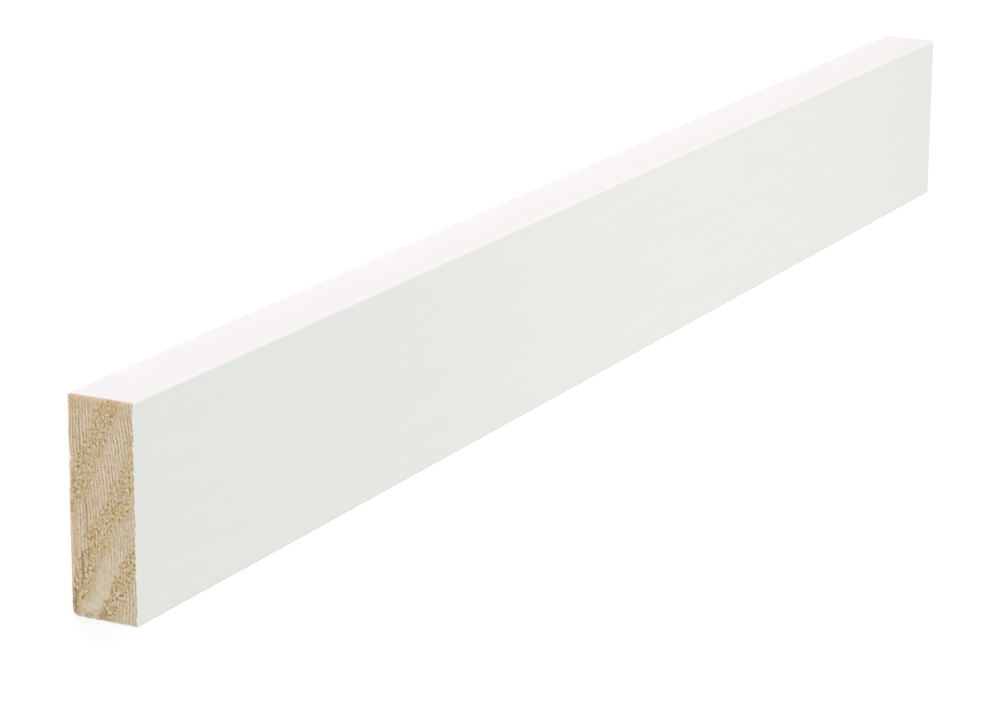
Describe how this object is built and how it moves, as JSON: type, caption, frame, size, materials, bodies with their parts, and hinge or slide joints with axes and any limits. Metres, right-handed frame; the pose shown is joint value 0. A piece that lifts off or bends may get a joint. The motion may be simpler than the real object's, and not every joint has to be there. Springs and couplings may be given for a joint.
{
  "type": "flat moulding",
  "caption": "Painted flat moulding strip: plain rectangular section with softly rounded arrises and square sawn ends, for trimming joints between walls, frames and floors.",
  "frame": {"origin": "middle of the back, which is the side fixed to the wall and the side the strip lies on", "axes": "+X along the strip, +Y across its wide face, +Z out of the wide face"},
  "size_m": [0.42, 0.045, 0.015],
  "materials": {
    "painted_pine": "white satin factory paint on the wide face and both narrow edges; bare planed pine on the back; bare rough-sawn pine on the two ends"
  },
  "bodies": {
    "root": {"flat_moulding": "painted_pine"}
  },
  "joints": []
}
